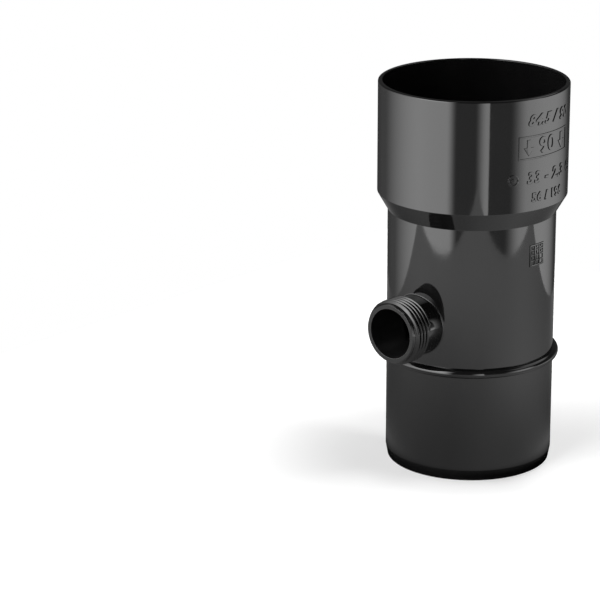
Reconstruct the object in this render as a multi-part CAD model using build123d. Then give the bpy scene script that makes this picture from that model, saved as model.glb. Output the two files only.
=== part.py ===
# Rainwater diverter for a 90 mm downpipe: one moulded body.
# The downpipe above pushes into the top socket, and the lower spigot pushes into the
# downpipe below, as far as the stop bead. Water that runs down the pipe's wall falls into
# a ring-shaped trough inside and leaves through the threaded outlet at the front. What
# the trough can't take goes over its inner wall and down the pipe.
# Millimetres. +Z is up the pipe, -Y is the way the outlet points, and the origin is on
# the pipe's axis in the plane of the bottom edge.

from build123d import *
import os

# Downpipe that the diverter is made for
downpipe_diameter = 90.0
socket_clearance = 0.8

# Pipe body
overall_height = 196.5
spigot_diameter = 84.5
body_wall = 2.5
socket_wall = 2.2
socket_length = 56.4
shoulder_height = 9.2

# Edges of the pipe body
rim_round = 0.8
socket_mouth_chamfer = 0.3
base_chamfer_height = 5.5
base_chamfer_depth = 1.0

# Half-round bead that stops the spigot
bead_diameter = 90.0
bead_radius = 2.25
bead_centre_height = 57.0

# Threaded outlet, sized for a one-inch pipe thread
outlet_height = 79.4
outlet_reach = 62.4
outlet_bore = 25.0
thread_diameter = 33.0
thread_depth = 1.48
thread_length = 11.1
pilot_length = 1.5
tip_chamfer = 0.95
outlet_join_round = 1.2

# Collecting trough inside the body
throat_bore = 57.0
throat_wall = 2.0
throat_rise = 4.0
throat_lip_chamfer = 0.6
trough_floor_drop = 2.0
trough_floor_thickness = 2.5

# Sizes that follow from those above
socket_bore_r = (downpipe_diameter + socket_clearance) / 2
socket_r = socket_bore_r + socket_wall
spigot_r = spigot_diameter / 2
body_bore_r = spigot_r - body_wall
bead_r = bead_diameter / 2
throat_bore_r = throat_bore / 2
throat_r = throat_bore_r + throat_wall
outlet_bore_r = outlet_bore / 2
thread_r = thread_diameter / 2
thread_core_r = thread_r - thread_depth

shoulder_top = overall_height - socket_length
shoulder_bottom = shoulder_top - shoulder_height
stop_ledge_top = shoulder_top + body_wall / 4
stop_ledge_bottom = shoulder_bottom + body_wall / 4
floor_top = outlet_height - outlet_bore_r - trough_floor_drop
floor_bottom = floor_top - trough_floor_thickness
throat_top = outlet_height + throat_rise


def corner(profile, radius, height):
    """The profile's corner at this distance from the axis and this height."""
    return profile.vertices().sort_by_distance((radius, height))[0]


def turned(profile):
    """A profile of radii and heights, turned once round the pipe's axis."""
    return revolve(Plane.XZ * profile, Axis.Z)


def pipe_outside():
    """Socket, shoulder, barrel and spigot as one turned form, without the hollow."""
    profile = make_face(Polyline(
        (0, 0),
        (spigot_r - base_chamfer_depth, 0),
        (spigot_r, base_chamfer_height),
        (spigot_r, shoulder_bottom),
        (socket_r, shoulder_top),
        (socket_r, overall_height),
        (0, overall_height),
        close=True,
    ))
    return turned(fillet(corner(profile, socket_r, overall_height), rim_round))


def stop_bead():
    """Half-round ring rooted in the wall of the spigot."""
    root_r = spigot_r - body_wall / 2
    crown_r = bead_r - bead_radius
    low = bead_centre_height - bead_radius
    high = bead_centre_height + bead_radius
    outline = Polyline((crown_r, high), (root_r, high), (root_r, low), (crown_r, low))
    crown = ThreePointArc((crown_r, low), (bead_r, bead_centre_height), (crown_r, high))
    return turned(make_face(outline + crown))


def outlet_outside():
    """Neck, thread blank, pilot and chamfered tip, turned round the outlet's axis."""
    pilot_start = outlet_reach - pilot_length
    thread_start = pilot_start - thread_length
    profile = make_face(Polyline(
        (0, 0),
        (thread_core_r, 0),
        (thread_core_r, thread_start),
        (thread_r, thread_start + thread_depth),
        (thread_r, pilot_start - thread_depth),
        (thread_core_r, pilot_start),
        (thread_core_r, outlet_reach - tip_chamfer),
        (thread_core_r - tip_chamfer, outlet_reach),
        (0, outlet_reach),
        close=True,
    ))
    along_outlet = Plane(origin=(0, 0, outlet_height), x_dir=(1, 0, 0), z_dir=(0, 0, 1))
    face = along_outlet * mirror(profile, about=Plane.XZ)
    return revolve(face, Axis((0, 0, outlet_height), (0, 1, 0)))


def upper_hollow():
    """Socket bore, stop ledge, barrel bore, trough and throat, open at the top."""
    profile = make_face(Polyline(
        (0, floor_bottom),
        (throat_bore_r, floor_bottom),
        (throat_bore_r, throat_top),
        (throat_r, throat_top),
        (throat_r, floor_top),
        (body_bore_r, floor_top),
        (body_bore_r, stop_ledge_bottom),
        (socket_bore_r, stop_ledge_top),
        (socket_bore_r, overall_height - socket_mouth_chamfer),
        (socket_bore_r + socket_mouth_chamfer, overall_height),
        (0, overall_height),
        close=True,
    ))
    lip = [corner(profile, radius, throat_top) for radius in (throat_bore_r, throat_r)]
    return turned(chamfer(lip, throat_lip_chamfer))


def lower_hollow():
    """Bore of the spigot, up to the underside of the trough."""
    return Cylinder(
        body_bore_r, floor_bottom, align=(Align.CENTER, Align.CENTER, Align.MIN)
    )


def outlet_hollow():
    """Bore of the outlet, from its tip through the wall into the trough."""
    inner_end = (throat_r + body_bore_r) / 2
    start = Plane(origin=(0, -inner_end, outlet_height), z_dir=(0, -1, 0))
    return extrude(start * Circle(outlet_bore_r), outlet_reach - inner_end)


def diverter_body():
    """The whole moulding."""
    outside = pipe_outside() + outlet_outside()
    join = [
        edge for edge in outside.edges()
        if edge.geom_type not in (GeomType.LINE, GeomType.CIRCLE)
    ]
    outside = fillet(join, outlet_join_round) + stop_bead()
    return outside - upper_hollow() - lower_hollow() - outlet_hollow()


os.makedirs("parts", exist_ok=True)
export_step(diverter_body(), "parts/diverter_body.step")
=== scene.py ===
# Visual model of a rainwater diverter: a gloss black moulding with a socket, a shoulder,
# a stop bead, an inner collecting trough and a threaded side outlet.
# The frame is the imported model's: metres, +Z up the pipe, -Y along the outlet.

import bpy
import bmesh
import math
import numpy as np
from mathutils import Matrix, Vector


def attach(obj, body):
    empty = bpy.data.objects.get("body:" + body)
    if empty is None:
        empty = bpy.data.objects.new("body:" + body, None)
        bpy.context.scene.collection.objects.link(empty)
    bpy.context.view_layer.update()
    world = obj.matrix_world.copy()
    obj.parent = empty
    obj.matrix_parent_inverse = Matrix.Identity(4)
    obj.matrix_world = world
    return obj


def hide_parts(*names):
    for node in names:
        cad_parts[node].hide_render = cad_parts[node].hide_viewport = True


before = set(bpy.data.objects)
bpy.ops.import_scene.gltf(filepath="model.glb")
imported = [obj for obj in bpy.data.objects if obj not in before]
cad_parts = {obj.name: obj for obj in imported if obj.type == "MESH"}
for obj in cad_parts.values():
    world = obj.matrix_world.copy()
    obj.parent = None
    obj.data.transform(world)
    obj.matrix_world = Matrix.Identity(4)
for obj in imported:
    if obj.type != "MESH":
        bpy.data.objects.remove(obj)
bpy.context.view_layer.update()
scene = bpy.context.scene

MM = 0.001

# Sizes in millimetres, as in the solid
HEIGHT = 196.5
SPIGOT_R = 42.25
BORE_R = 39.75
FOOT_TAPER_DEPTH = 1.0
FOOT_TAPER_HEIGHT = 5.5
BEAD_R = 45.0
BEAD_LOW = 54.75
BEAD_HIGH = 59.25
SHOULDER_BOTTOM = 130.9
SHOULDER_TOP = 140.1
SOCKET_R = 47.6
SOCKET_BORE_R = 45.4
LEDGE_BOTTOM = 131.525
LEDGE_TOP = 140.725
FLOOR_BOTTOM = 62.4
FLOOR_TOP = 64.9
THROAT_R = 30.5
THROAT_BORE_R = 28.5
THROAT_TOP = 83.4
OUTLET_Z = 79.4
OUTLET_BORE_R = 12.5
REACH = 62.4
CREST_R = 16.5
CORE_R = 15.02

# Rounds and chamfers of the edges
FOOT_ROUND_INSIDE = 0.25
FOOT_ROUND = 0.2
FOOT_TAPER_ROUND = 0.8
BEAD_FOOT_ROUND = 0.08
BEAD_ROUND = 2.249
SHOULDER_ROUND = 0.5
RIM_ROUND = 0.8
RIM_ROUND_INSIDE = 0.3
LEDGE_ROUND = 0.4
TROUGH_ROUND = 0.6
THROAT_LIP_ROUND = 0.7
UNDERSIDE_ROUND = 0.4
OUTLET_JOIN = 0.6
TIP_CHAMFER = 0.6
TIP_ROUND = 0.12
MOUTH_ROUND = 0.2

# Thread of the outlet, rounded 55 degree form and right-hand
PITCH = 2.309
HALF_FORM_ANGLE = math.radians(27.5)
FORM_ROUND = 0.137329 * PITCH

# A crest lies at this distance from the pipe's axis, at this many degrees from +X up to +Z.
# Degrees before and after that angle say where the turn next to the neck rises out of it
CREST_DISTANCE = 50.57
CREST_ANGLE = 50
RISE_FROM = -43
RISE_OVER = 13

# The thread's end at the tip, how steeply it rises there, and the stretch with fine rows
THREAD_TIP = 60.9
LEAD_IN_SLOPE = 1.4
FINE_FROM = 48.9
FINE_TO = 61.35

# Mesh density. Where the outlet's hole is, the wall has a patch as many columns wide as it
# is rows high, and LOOP points round its border. Half the patch's height is in millimetres
COLUMNS = 264
SPAN = 24
ROWS = 2 * SPAN
LOOP = 8 * SPAN
OUTER_PATCH = 19.4
INNER_PATCH = 13.4
OUTER_RINGS = 9
INNER_RINGS = 5
RING_SPREAD = 1.25
ARC_DEGREES = 11
JOIN_STEPS = 7
NECK_STEPS = 5
THREAD_STEPS = 112
BORE_STEPS = 9


def arc_corner(before, point, after, radius):
    """Points of the arc that rounds an outline's corner."""
    p = np.array(point, float)
    a = np.array(before, float) - p
    b = np.array(after, float) - p
    a /= np.linalg.norm(a)
    b /= np.linalg.norm(b)
    half = math.acos(np.clip(a @ b, -1, 1)) / 2
    centre = p + (a + b) / np.linalg.norm(a + b) * radius / math.sin(half)
    start = p + a * radius / math.tan(half) - centre
    end = p + b * radius / math.tan(half) - centre
    turn = math.pi - 2 * half
    steps = max(3, math.ceil(math.degrees(turn) / ARC_DEGREES))
    points = []
    for k in range(steps + 1):
        t = k / steps
        v = (math.sin((1 - t) * turn) * start + math.sin(t * turn) * end) / math.sin(turn)
        points.append(centre + v)
    return points


def rounded(corners):
    """Points of the outline through the corners (radius, height, round), all but both ends."""
    points = []
    for before, corner, after in zip(corners, corners[1:], corners[2:]):
        points += arc_corner(before[:2], corner[:2], after[:2], corner[2])
    return points


def patch_rows(radius, half_height):
    """Radius and height of each row through a patch, upwards, on the wall of this radius."""
    steps = np.linspace(-half_height, half_height, ROWS + 1)
    return [np.array((radius, OUTLET_Z + step)) for step in steps]


def body_outline():
    """Closed outline of (radius, height), from the foot up the outside and down the inside.

    The rows that the outer and the inner patch start at come with it.
    """
    outside = [
        (BORE_R, 0, FOOT_ROUND_INSIDE), (SPIGOT_R - FOOT_TAPER_DEPTH, 0, FOOT_ROUND),
        (SPIGOT_R, FOOT_TAPER_HEIGHT, FOOT_TAPER_ROUND),
        (SPIGOT_R, BEAD_LOW, BEAD_FOOT_ROUND), (BEAD_R, BEAD_LOW, BEAD_ROUND),
        (BEAD_R, BEAD_HIGH, BEAD_ROUND), (SPIGOT_R, BEAD_HIGH, BEAD_FOOT_ROUND),
    ]
    top = [
        (SPIGOT_R, SHOULDER_BOTTOM, SHOULDER_ROUND), (SOCKET_R, SHOULDER_TOP, SHOULDER_ROUND),
        (SOCKET_R, HEIGHT, RIM_ROUND), (SOCKET_BORE_R, HEIGHT, RIM_ROUND_INSIDE),
        (SOCKET_BORE_R, LEDGE_TOP, LEDGE_ROUND), (BORE_R, LEDGE_BOTTOM, LEDGE_ROUND),
    ]
    inside = [
        (BORE_R, FLOOR_TOP, TROUGH_ROUND), (THROAT_R, FLOOR_TOP, TROUGH_ROUND),
        (THROAT_R, THROAT_TOP, THROAT_LIP_ROUND), (THROAT_BORE_R, THROAT_TOP, THROAT_LIP_ROUND),
        (THROAT_BORE_R, FLOOR_BOTTOM, UNDERSIDE_ROUND), (BORE_R, FLOOR_BOTTOM, UNDERSIDE_ROUND),
    ]
    below_patch = rounded([inside[-1]] + outside + [top[0]])
    between = rounded([outside[-1]] + top + [inside[0]])
    outline = below_patch + patch_rows(SPIGOT_R, OUTER_PATCH) + between
    inner_row = len(outline)
    outline += patch_rows(BORE_R, INNER_PATCH)[::-1] + rounded([top[-1]] + inside + [outside[0]])
    return np.array(outline), len(below_patch), inner_row


def thread_profile(offset):
    """Height over the thread's root at this distance from a crest: 55 degree rounded form."""
    depth = CREST_R - CORE_R
    edge = FORM_ROUND * math.cos(HALF_FORM_ANGLE)
    edge_height = depth - FORM_ROUND * (1 - math.sin(HALF_FORM_ANGLE))
    x = np.abs(offset)
    far = PITCH / 2 - x
    crest = depth - FORM_ROUND + np.sqrt(np.maximum(FORM_ROUND ** 2 - x ** 2, 0))
    root = FORM_ROUND - np.sqrt(np.maximum(FORM_ROUND ** 2 - far ** 2, 0))
    flank = edge_height - (x - edge) / math.tan(HALF_FORM_ANGLE)
    return np.where(x < edge, crest, np.where(far < edge, root, flank))


def smooth(t):
    """0 up to 0, 1 from 1 on, and an even curve between them."""
    t = np.clip(t, 0, 1)
    return t * t * (3 - 2 * t)


def outlet_radius(s, phi):
    """Outside radius of the outlet at a distance from the pipe's axis and an angle."""
    past_crest = np.degrees(phi) - CREST_ANGLE
    turns = (s - CREST_DISTANCE) / PITCH - past_crest / 360
    turn = np.round(turns)
    height = thread_profile((turns - turn) * PITCH)
    # The turn next to the neck rises out of it within a few millimetres
    unwound = past_crest + 360 * turn
    height = height * smooth((unwound - RISE_FROM) / RISE_OVER)
    lead_in = np.clip((THREAD_TIP - s) * LEAD_IN_SLOPE, 0, None)
    return CORE_R + np.minimum(height, lead_in)


class Builder:
    """Vertices and quads of one closed mesh, in millimetres."""

    def __init__(self):
        self.points = []
        self.faces = []

    def ring(self, points):
        """Adds the points, and gives their indices."""
        first = len(self.points)
        self.points += [tuple(p) for p in points]
        return list(range(first, first + len(points)))

    def band(self, lower, upper):
        """Faces between two closed rings."""
        n = len(lower)
        for i in range(n):
            j = (i + 1) % n
            self.faces.append((lower[i], lower[j], upper[j], upper[i]))

    def grow(self, last, points):
        """A new ring, joined to the last one."""
        now = self.ring(points)
        self.band(last, now)
        return now


def square_loop(grid):
    """The patch's border as indices, from the +X side, anticlockwise seen from the front."""
    def at(column, row):
        return grid[row][column % COLUMNS]
    loop = [at(SPAN, SPAN + k) for k in range(SPAN)]
    loop += [at(SPAN - k, ROWS) for k in range(ROWS)]
    loop += [at(-SPAN, ROWS - k) for k in range(ROWS)]
    loop += [at(-SPAN + k, 0) for k in range(ROWS)]
    loop += [at(SPAN, k) for k in range(SPAN)]
    return loop


def hole_rings(build, loop, radius, hole_r, rings):
    """Rings on a cylinder's wall from the square border in to a round hole's edge."""
    border = np.array([build.points[i] for i in loop])
    border_arc = radius * np.arctan2(border[:, 0], -border[:, 1])
    border_height = border[:, 2] - OUTLET_Z
    phi = np.arange(LOOP) * 2 * math.pi / LOOP
    hole_arc = radius * np.arcsin(hole_r * np.cos(phi) / radius)
    hole_height = hole_r * np.sin(phi)
    last = loop
    for k in range(1, rings + 1):
        w = 1 - (1 - k / rings) ** RING_SPREAD
        arc = (1 - w) * border_arc + w * hole_arc
        height = (1 - w) * border_height + w * hole_height
        last = build.grow(last, np.stack([
            radius * np.sin(arc / radius), -radius * np.cos(arc / radius), height + OUTLET_Z
        ], axis=1))
    return last


def outlet_point(s, r, phi):
    """Points at this distance from the pipe's axis and this radius round the outlet's."""
    return np.stack([r * np.cos(phi), -s * np.ones_like(phi), OUTLET_Z + r * np.sin(phi)], axis=1)


def wall_distance(wall_r, hole_r, phi):
    """How far from the pipe's axis the outlet's circle of this radius meets a wall."""
    return np.sqrt(wall_r ** 2 - (hole_r * np.cos(phi)) ** 2)


def pipe_grid(build, outline, patches):
    """Rings of the whole pipe and the faces between them, apart from the patches."""
    angle = np.arange(COLUMNS) * 2 * math.pi / COLUMNS
    grid = []
    for r, z in outline:
        grid.append(build.ring(np.stack([
            r * np.sin(angle), -r * np.cos(angle), np.full(COLUMNS, z)
        ], axis=1)))
    for row in range(len(grid)):
        above = (row + 1) % len(grid)
        beside_patch = any(first <= row < first + ROWS for first in patches)
        for column in range(COLUMNS):
            if beside_patch and not SPAN <= column < COLUMNS - SPAN:
                continue
            after = (column + 1) % COLUMNS
            build.faces.append((grid[row][column], grid[row][after],
                                grid[above][after], grid[above][column]))
    return grid


def body_mesh():
    """The whole moulding as one closed surface of quads."""
    outline, outer_row, inner_row = body_outline()
    build = Builder()
    grid = pipe_grid(build, outline, (outer_row, inner_row))

    phi = np.arange(LOOP) * 2 * math.pi / LOOP
    outer = square_loop(grid[outer_row:outer_row + ROWS + 1])
    last = hole_rings(build, outer, SPIGOT_R, CORE_R + OUTLET_JOIN, OUTER_RINGS)

    # Round where the neck meets the barrel
    foot = np.array([build.points[i] for i in last])
    meet_s = wall_distance(SPIGOT_R, CORE_R, phi)
    neck_s = meet_s + OUTLET_JOIN
    corner = outlet_point(meet_s, CORE_R, phi)
    top = outlet_point(neck_s, CORE_R, phi)
    for k in range(1, JOIN_STEPS + 1):
        t = k / JOIN_STEPS
        last = build.grow(last, (1 - t) ** 2 * foot + 2 * t * (1 - t) * corner + t * t * top)

    # Neck, thread and pilot
    for k in range(1, NECK_STEPS + 1):
        t = k / NECK_STEPS
        last = build.grow(last, outlet_point((1 - t) * neck_s + t * FINE_FROM, CORE_R, phi))
    for k in range(1, THREAD_STEPS + 1):
        s = FINE_FROM + (FINE_TO - FINE_FROM) * k / THREAD_STEPS
        last = build.grow(last, outlet_point(s, outlet_radius(s, phi), phi))

    # Tip: chamfer, flat face, bore
    tip = rounded([
        (FINE_TO, CORE_R, 0), (REACH - TIP_CHAMFER, CORE_R, TIP_ROUND),
        (REACH, CORE_R - TIP_CHAMFER, TIP_ROUND), (REACH, OUTLET_BORE_R, MOUTH_ROUND),
        (0, OUTLET_BORE_R, 0),
    ])
    for s, r in tip:
        last = build.grow(last, outlet_point(s, r, phi))
    inside_s = wall_distance(BORE_R, OUTLET_BORE_R, phi)
    for k in range(1, BORE_STEPS):
        t = k / BORE_STEPS
        s = (1 - t) * (REACH - MOUTH_ROUND) + t * inside_s
        last = build.grow(last, outlet_point(s, OUTLET_BORE_R, phi))
    inner = square_loop(grid[inner_row:inner_row + ROWS + 1][::-1])
    edge = hole_rings(build, inner, BORE_R, OUTLET_BORE_R, INNER_RINGS)
    build.band(last, edge)
    return build


def add_object(name, data):
    """New object in the scene."""
    made = bpy.data.objects.new(name, data)
    scene.collection.objects.link(made)
    return made


def weigh_normals(mesh):
    """Large faces keep their own normal, so that small rounds shade only themselves."""
    mesh.shade_smooth()
    normals = np.zeros((len(mesh.vertices), 3))
    for face in mesh.polygons:
        weight = np.array(face.normal) * face.area
        for i in face.vertices:
            normals[i] += weight
    normals /= np.linalg.norm(normals, axis=1)[:, None]
    mesh.normals_split_custom_set_from_vertices([tuple(n) for n in normals])


def make_piece(name, points, faces):
    """Mesh object with smooth shading, its normals weighted by the faces' areas."""
    used = sorted({i for f in faces for i in f})
    index = {old: new for new, old in enumerate(used)}
    mesh = bpy.data.meshes.new(name)
    mesh.from_pydata([tuple(c * MM for c in points[i]) for i in used], [],
                     [tuple(index[i] for i in f) for f in faces])
    bm = bmesh.new()
    bm.from_mesh(mesh)
    bmesh.ops.recalc_face_normals(bm, faces=bm.faces)
    bm.to_mesh(mesh)
    bm.free()
    weigh_normals(mesh)
    return add_object(name, mesh)


built = body_mesh()
body = make_piece("body_moulding", built.points, built.faces)


# Raised marks, bent on to the pipe's wall. Headings are in degrees from +X to +Y

# How far the middle of each relief stands off the wall
TEXT_STAND_OFF = 0.1
LINE_STAND_OFF = 0.05
GRID_STAND_OFF = 0.06

# Flat marks are cut into strips of this width, so that they bend evenly
STRIP = 0.7
MERGE_WITHIN = 1e-6
SHARP_ANGLE = 25

TEXT_SPACING = 1.12
TEXT_STEPS = 4
EDGE_STEPS = 2
CIRCLE_STEPS = 40
DOT_STEPS = 20


def wrapped(name, flat, radius, heading, height):
    """A flat relief mesh, in millimetres, bent round the pipe's axis at this heading."""
    bm = bmesh.new()
    bm.from_mesh(flat)
    xs = [v.co.x for v in bm.verts]
    for cut in np.arange(math.floor(min(xs)) + STRIP, max(xs), STRIP):
        bmesh.ops.bisect_plane(
            bm, geom=bm.verts[:] + bm.edges[:] + bm.faces[:],
            plane_co=(cut, 0, 0), plane_no=(1, 0, 0)
        )
    start = math.radians(heading)
    for v in bm.verts:
        angle = start + v.co.x / radius
        r = radius + v.co.z
        v.co = Vector((r * math.cos(angle), r * math.sin(angle), height + v.co.y)) * MM
    bmesh.ops.remove_doubles(bm, verts=bm.verts, dist=MERGE_WITHIN)
    bmesh.ops.recalc_face_normals(bm, faces=bm.faces)
    mesh = bpy.data.meshes.new(name)
    bm.to_mesh(mesh)
    bm.free()
    mesh.shade_smooth()
    mesh.set_sharp_from_angle(angle=math.radians(SHARP_ANGLE))
    return add_object(name, mesh)


def raised(curve, thickness, edge):
    """Mesh of a flat curve or text, raised, with a small bevelled edge."""
    curve.extrude = thickness / 2 - edge
    curve.bevel_depth = edge
    curve.bevel_resolution = EDGE_STEPS
    holder = add_object("relief_curve", curve)
    bpy.context.view_layer.update()
    evaluated = holder.evaluated_get(bpy.context.evaluated_depsgraph_get())
    mesh = bpy.data.meshes.new_from_object(evaluated)
    bpy.data.objects.remove(holder)
    return mesh


def relief_curve(name, outlines, thickness=0.5, edge=0.1):
    """Closed outlines, filled and raised."""
    curve = bpy.data.curves.new(name, "CURVE")
    curve.dimensions = "2D"
    curve.fill_mode = "BOTH"
    for outline in outlines:
        spline = curve.splines.new("POLY")
        spline.points.add(len(outline) - 1)
        for point, (x, y) in zip(spline.points, outline):
            point.co = (x, y, 0, 1)
        spline.use_cyclic_u = True
    return raised(curve, thickness, edge)


def relief_text(text, size, slant=0.0, bold=0.2, thickness=0.6, edge=0.1):
    """Plain numbers, centred and raised."""
    curve = bpy.data.curves.new("numerals", "FONT")
    curve.body = text
    curve.size = size
    curve.shear = slant
    curve.align_x = "CENTER"
    curve.align_y = "CENTER"
    curve.space_character = TEXT_SPACING
    curve.resolution_u = TEXT_STEPS
    curve.offset = bold
    return raised(curve, thickness, edge)


def bar(x, y, width, height):
    """Rectangle centred at x, y."""
    return [(x - width / 2, y - height / 2), (x + width / 2, y - height / 2),
            (x + width / 2, y + height / 2), (x - width / 2, y + height / 2)]


def frame_outline(width, height, line):
    """Outer and inner outline of a rectangular frame."""
    outer = bar(0, 0, width, height)
    inner = bar(0, 0, width - 2 * line, height - 2 * line)
    return [outer, inner[::-1]]


def circle_outline(x, y, radius, steps=CIRCLE_STEPS):
    turn = [2 * math.pi * k / steps for k in range(steps)]
    return [(x + radius * math.cos(a), y + radius * math.sin(a)) for a in turn]


def ring_outline(x, radius, line):
    """Outer and inner outline of a ring centred at x."""
    return [circle_outline(x, 0, radius), circle_outline(x, 0, radius - line)[::-1]]


def flow_arrow(x, top, length, width):
    """Arrow that points down, the way the water runs."""
    shaft = width * 0.34
    neck = top - length * 0.5
    return [(x - shaft / 2, top), (x - shaft / 2, neck), (x - width / 2, neck),
            (x, top - length), (x + width / 2, neck), (x + shaft / 2, neck),
            (x + shaft / 2, top)]


def date_grid(width, height):
    """Moulding date mark: a square frame, a grid of cells and a dot in some of them."""
    columns = 3
    rows = 4
    dots = 7
    dot_r = 0.55
    line = 0.62
    thin = line * 0.8
    cell_x = width / columns
    cell_y = height / rows
    outlines = frame_outline(width, height, line)
    for i in range(1, columns):
        outlines.append(bar(i * cell_x - width / 2, 0, thin, height - 2.4 * line))
    for j in range(1, rows):
        for i in range(columns):
            x = (i + 0.5) * cell_x - width / 2
            outlines.append(bar(x, j * cell_y - height / 2, cell_x - 2.2 * line, thin))
    for k in range(dots):
        x = (k % columns + 0.5) * cell_x - width / 2
        y = height / 2 - (k // columns + 0.5) * cell_y
        outlines.append(circle_outline(x, y, dot_r, DOT_STEPS))
    return outlines


def socket_text(name, flat, heading, height):
    """A number on the socket's wall."""
    return wrapped(name, flat, SOCKET_R + TEXT_STAND_OFF, heading, height)


def socket_lines(name, outlines, heading, height):
    """Line work on the socket's wall."""
    return wrapped(name, relief_curve(name, outlines), SOCKET_R + LINE_STAND_OFF, heading, height)


def raised_marks():
    """Lines of numbers and signs down the socket, and the date mark on the barrel."""
    first_line = {"heading": 0.5, "height": 185.3}
    second_line = {"heading": -2.2, "height": 172.2}
    third_line = {"heading": -1, "height": 156.6}
    fourth_line = {"heading": 0, "height": 146.6}
    arrow_x = 12.2
    ring_x = 21.5
    signs = frame_outline(width=36, height=11.6, line=0.55)
    rings = []
    dots = []
    for side in (-1, 1):
        signs.append(flow_arrow(side * arrow_x, top=3.9, length=7.8, width=5.6))
        rings += ring_outline(side * ring_x, radius=2.9, line=0.7)
        dots.append(circle_outline(side * ring_x, 0, radius=0.9, steps=DOT_STEPS))
    pipes = relief_text("84.5 / 90", size=7.6, slant=0.35)
    pipe = relief_text("90", size=10.8)
    thread = relief_text("33 - 2.3", size=8.0, slant=0.15)
    lengths = relief_text("56 / 196", size=6.2, bold=0.15)
    grid = relief_curve("date_grid", date_grid(width=10.2, height=11.0), thickness=0.6, edge=0.07)
    return [
        socket_text("spigot_and_pipe_size", pipes, **first_line),
        socket_text("pipe_size", pipe, **second_line),
        socket_lines("size_frame", signs, **second_line),
        socket_text("thread_size", thread, **third_line),
        socket_lines("end_rings", rings + dots, **third_line),
        socket_text("height_size", lengths, **fourth_line),
        wrapped("date_grid", grid, SPIGOT_R + GRID_STAND_OFF, heading=-1.2, height=114.9),
    ]


marks = raised_marks()


class Shading:
    """Makes and links the nodes of one material or world."""

    def __init__(self, owner):
        owner.use_nodes = True
        self.nodes = owner.node_tree.nodes
        self.links = owner.node_tree.links

    def node(self, kind):
        return self.nodes.new("ShaderNode" + kind)

    def feed(self, socket, value):
        """Links an output to a socket, or gives the socket a constant."""
        if isinstance(value, bpy.types.NodeSocket):
            self.links.new(value, socket)
        else:
            socket.default_value = value

    def math(self, operation, a, *others):
        node = self.node("Math")
        node.operation = operation
        for socket, value in zip(node.inputs, (a, *others)):
            self.feed(socket, value)
        return node.outputs["Value"]

    def vector(self, operation, a, b=None, result="Vector"):
        node = self.node("VectorMath")
        node.operation = operation
        self.feed(node.inputs[0], a)
        if b is not None:
            self.feed(node.inputs[1], b)
        return node.outputs[result]

    def map_range(self, value, start, end, low, high, kind="SMOOTHSTEP"):
        """Low up to start, high from end on, and a curve or a straight line between."""
        node = self.node("MapRange")
        node.interpolation_type = kind
        node.inputs["From Min"].default_value = start
        node.inputs["From Max"].default_value = end
        node.inputs["To Min"].default_value = low
        node.inputs["To Max"].default_value = high
        self.feed(node.inputs["Value"], value)
        return node.outputs["Result"]

    def mix(self, factor, a, b, kind="FLOAT"):
        node = self.node("Mix")
        node.data_type = kind
        self.feed(node.inputs["Factor"], factor)
        self.feed(node.inputs["A"], a)
        self.feed(node.inputs["B"], b)
        return node.outputs["Result"]

    def choose(self, factor, first, second):
        """One shader where the factor is 0, the other where it is 1."""
        node = self.node("MixShader")
        self.feed(node.inputs["Fac"], factor)
        self.feed(node.inputs[1], first)
        self.feed(node.inputs[2], second)
        return node.outputs["Shader"]

    def noise(self, place, scale, detail=2.0, stretch=(1, 1, 1)):
        mapping = self.node("Mapping")
        mapping.inputs["Scale"].default_value = stretch
        self.feed(mapping.inputs["Vector"], place)
        texture = self.node("TexNoise")
        texture.inputs["Scale"].default_value = scale
        texture.inputs["Detail"].default_value = detail
        self.feed(texture.inputs["Vector"], mapping.outputs["Vector"])
        return texture.outputs["Fac"]

    def bump(self, height, strength, distance):
        node = self.node("Bump")
        node.inputs["Strength"].default_value = strength
        node.inputs["Distance"].default_value = distance
        self.feed(node.inputs["Height"], height)
        return node


def black_plastic():
    """Gloss black moulded plastic, less polished inside."""
    material = bpy.data.materials.new("black_pvc_gloss")
    make = Shading(material)
    shader = make.nodes["Principled BSDF"]
    shader.inputs["IOR"].default_value = 1.5
    place = make.node("TexCoord").outputs["Object"]

    def spread(value, low, high):
        """The noise's middle range, stretched to these limits."""
        return make.map_range(value, 0.3, 0.7, low, high, "LINEAR")

    def near_axis(centre, across, radius):
        """1 where the point is nearer than this to an axis through the centre, else 0."""
        away = make.vector("MULTIPLY", make.vector("SUBTRACT", place, centre), across)
        return make.math("LESS_THAN", make.vector("LENGTH", away, result="Value"), radius * MM)

    # Faint mottling, drawn out along the pipe where the plastic flowed
    dark = (0.0028, 0.0028, 0.0029, 1)
    pale = (0.0042, 0.0041, 0.0041, 1)
    flow = spread(make.noise(place, 60, 3, (1, 1, 0.3)), 0, 1)
    make.feed(shader.inputs["Base Color"], make.mix(flow, dark, pale, "RGBA"))

    # The outside is polished; the chamber and the outlet's bore, off plain cores, are less so
    core_roughness = 0.45
    parts = make.node("SeparateXYZ")
    make.feed(parts.inputs["Vector"], place)
    in_front = make.math("LESS_THAN", parts.outputs["Y"], -BORE_R * MM / 2)
    chamber = near_axis((0, 0, 0), (1, 1, 0), BORE_R + 0.5)
    bore = near_axis((0, 0, OUTLET_Z * MM), (1, 0, 1), OUTLET_BORE_R + 0.3)
    core = make.math("MAXIMUM", chamber, make.math("MULTIPLY", bore, in_front))
    polish = spread(make.noise(place, 220, 4), 0.04, 0.065)
    make.feed(shader.inputs["Roughness"], make.mix(core, polish, core_roughness))

    # Soft waviness of a moulded wall under a very fine tooling grain
    wave = make.bump(make.noise(place, 130), 0.35, 0.00002)
    grain = make.bump(make.noise(place, 1800), 0.25, 0.000003)
    make.feed(grain.inputs["Normal"], wave.outputs["Normal"])
    make.feed(shader.inputs["Normal"], grain.outputs["Normal"])
    return material


plastic = black_plastic()
for piece in [body] + marks:
    piece.data.materials.append(plastic)
    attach(piece, "root")
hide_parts("diverter_body")


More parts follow.
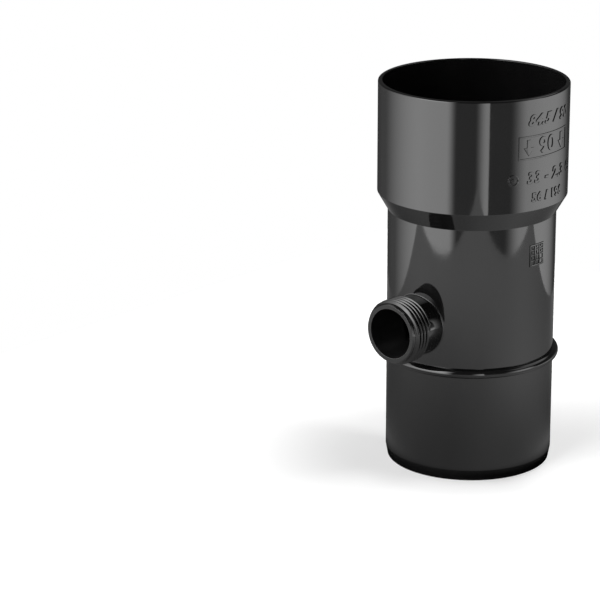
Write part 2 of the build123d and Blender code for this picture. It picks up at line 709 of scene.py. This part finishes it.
# Studio: a white table, dark surroundings with soft panels, and white for the camera.
# Headings count in degrees from the camera's side of the pipe, to its right

CAMERA_HEADING = -51.36

# Corners of the table, in metres
TABLE_LOW = (-0.293, -0.424)
TABLE_HIGH = (0.420, 0.292)

# Strength of the dark surroundings and of the faint light at and below the horizon
SURROUNDINGS = 0.08
HORIZON = 0.39


def white_table():
    """Material of the table: its painted lights and shadows, emission for the camera and for
    reflections, change with the way out from the pipe.
    """
    material = bpy.data.materials.new("white_table")
    make = Shading(material)
    shader = make.nodes["Principled BSDF"]
    shader.inputs["Roughness"].default_value = 0.9
    shader.inputs["Specular IOR Level"].default_value = 0.0
    shader.inputs["Emission Color"].default_value = (1, 1, 1, 1)
    place = make.node("TexCoord").outputs["Object"]
    light_path = make.node("LightPath")
    outward = make.vector("NORMALIZE", place)
    reach = make.vector("LENGTH", place, result="Value")

    def towards(heading, start, end, low, high):
        """Low away from this heading and high towards it; start and end are cosines."""
        angle = math.radians(CAMERA_HEADING + heading)
        way = (math.cos(angle), math.sin(angle), 0)
        cosine = make.vector("DOT_PRODUCT", outward, way, "Value")
        return make.map_range(cosine, start, end, low, high)

    def beyond(start, end, low=0, high=1):
        """Low near the pipe and high far from it; start and end are distances in metres."""
        return make.map_range(reach, start, end, low, high)

    def times(a, b):
        return make.math("MULTIPLY", a, b)

    def plus(a, b):
        return make.math("ADD", a, b)

    texture = make.node("TexNoise")
    texture.inputs["Scale"].default_value = 30
    make.feed(texture.inputs["Vector"], place)
    white = make.map_range(texture.outputs["Fac"], 0, 1, 0.73, 0.75)
    make.feed(shader.inputs["Base Color"], white)

    # White for the camera: emission seen only by the camera lifts the floor to white, weaker near
    # the pipe and shaped by heading, and so paints most of the soft shadow round the foot over the
    # real one
    right = towards(105, 0.1, 0.9, 0.22, 0.66)
    rear = towards(-160, 0.6, 0.85, 0, 0.13)
    front = times(towards(0, 0.35, 0.75, 0, 1), beyond(0.045, 0.075, 0, 0.2))
    foot = times(towards(5, 0.65, 0.95, 0, 1), beyond(0.042, 0.052, 0, 0.1))
    near = plus(plus(right, rear), plus(front, foot))
    far = 0.7
    away = times(beyond(0.055, 0.13), towards(-90, 0.3, 1.0, 1, 0.7))
    # Painted shadow: the camera's emission, low near the pipe and high far out
    painted_shadow_lift = make.mix(away, near, far)
    make.feed(shader.inputs["Emission Strength"], times(light_path.outputs["Is Camera Ray"], painted_shadow_lift))

    # In reflections the table is emission: white far out, with painted shade near the pipe and
    # behind it, and painted black where the pipe stands
    near = towards(56.36, 0.2, 1.0, 0.42, 0.66)
    far = 1.31
    growth = make.mix(towards(90, 0.2, 0.9, 0, 1), beyond(0.05, 0.40), beyond(0.07, 0.22))
    seen = times(make.mix(growth, near, far), beyond(0.043, 0.062))
    seen = times(seen, towards(0, -0.75, 0.5, 0.2, 1.0))
    painted_reflection_glow = make.node("Emission")
    make.feed(painted_reflection_glow.inputs["Strength"], seen)
    surface = make.choose(light_path.outputs["Is Glossy Ray"],
                          shader.outputs["BSDF"], painted_reflection_glow.outputs["Emission"])
    make.feed(make.nodes["Material Output"].inputs["Surface"], surface)
    return material


def table():
    """Flat top, in the plane of the pipe's bottom edge."""
    low_x, low_y = TABLE_LOW
    high_x, high_y = TABLE_HIGH
    mesh = bpy.data.meshes.new("table_top")
    corners = [(low_x, low_y, 0), (high_x, low_y, 0), (high_x, high_y, 0), (low_x, high_y, 0)]
    mesh.from_pydata(corners, [], [(0, 1, 2, 3)])
    mesh.materials.append(white_table())
    top = add_object("table_top", mesh)


def studio():
    """Dark surroundings with soft panels, which the camera sees as white."""
    world = bpy.data.worlds.new("studio")
    scene.world = world
    make = Shading(world)
    make.nodes.clear()
    turned = make.node("VectorRotate")
    turned.rotation_type = "Z_AXIS"
    turned.inputs["Angle"].default_value = math.radians(-CAMERA_HEADING)
    make.feed(turned.inputs["Vector"], make.node("TexCoord").outputs["Generated"])
    split = make.node("SeparateXYZ")
    make.feed(split.inputs["Vector"], turned.outputs["Vector"])
    across = make.math("ARCTAN2", split.outputs["Y"], split.outputs["X"])
    azimuth = make.math("DEGREES", across)
    elevation = make.math("DEGREES", make.math("ARCSINE", split.outputs["Z"]))

    def fade_out(value, start, end):
        """1 up to start, 0 from end on, and a curve between."""
        return make.math("SUBTRACT", 1.0, make.map_range(value, start, end, 0, 1))

    def window(value, low, low_soft, high, high_soft):
        """1 between low and high, fading over each softness outside them."""
        rise = make.map_range(value, low - low_soft, low, 0, 1)
        return make.math("MULTIPLY", rise, fade_out(value, high, high + high_soft))

    def panel(strength, sides, heights):
        """Light from a window of azimuths and one of elevations, in degrees."""
        area = make.math("MULTIPLY", window(azimuth, *sides), window(elevation, *heights))
        return make.math("MULTIPLY", area, strength)

    behind = make.math("ABSOLUTE", azimuth)
    horizon = make.math("MULTIPLY", fade_out(elevation, -5, 12), fade_out(behind, 110, 165))
    light = SURROUNDINGS
    for part in (
        # Tall panel on the left, with a brighter upper part
        panel(4.8, (-62, 70, -32, 13), (-60, 8, 42, 16)),
        panel(4.2, (-57, 30, -38, 12), (12, 10, 36, 10)),
        # Narrow strip, right of the camera
        panel(4.3, (17, 15, 18.5, 1.5), (-60, 8, 18, 8)),
        # Right side: below the horizon, just over it, and high up behind
        panel(3.8, (70, 26, 80, 76), (-60, 8, -8, 6)),
        panel(3.8, (70, 26, 80, 16), (-2, 6, 8, 14)),
        panel(1.2, (80, 20, 155, 25), (36, 8, 50, 8)),
        make.math("MULTIPLY", horizon, HORIZON),
    ):
        light = make.math("ADD", part, light)

    dark = make.node("Background")
    make.feed(dark.inputs["Strength"], light)
    white = make.node("Background")
    white.inputs["Strength"].default_value = 1.0
    white.inputs["Color"].default_value = (1, 1, 1, 1)
    seen = make.choose(make.node("LightPath").outputs["Is Camera Ray"],
                       dark.outputs["Background"], white.outputs["Background"])
    make.feed(make.node("OutputWorld").inputs["Surface"], seen)


table()
studio()


# Camera: its place in metres, its turns in degrees

CAMERA_PLACE = (0.8364, -1.0464, 0.5158)
CAMERA_TURN = 42.329
CAMERA_TILT = 72.022
CAMERA_ROLL = -0.106

lens = bpy.data.cameras.new("camera")
lens.sensor_width = 36.0
lens.lens = 166.34
camera = add_object("camera", lens)
camera.matrix_world = (
    Matrix.Translation(CAMERA_PLACE)
    @ Matrix.Rotation(math.radians(CAMERA_TURN), 4, "Z")
    @ Matrix.Rotation(math.radians(CAMERA_TILT), 4, "X")
    @ Matrix.Rotation(math.radians(CAMERA_ROLL), 4, "Z")
)
scene.camera = camera
scene.view_settings.view_transform = "Standard"
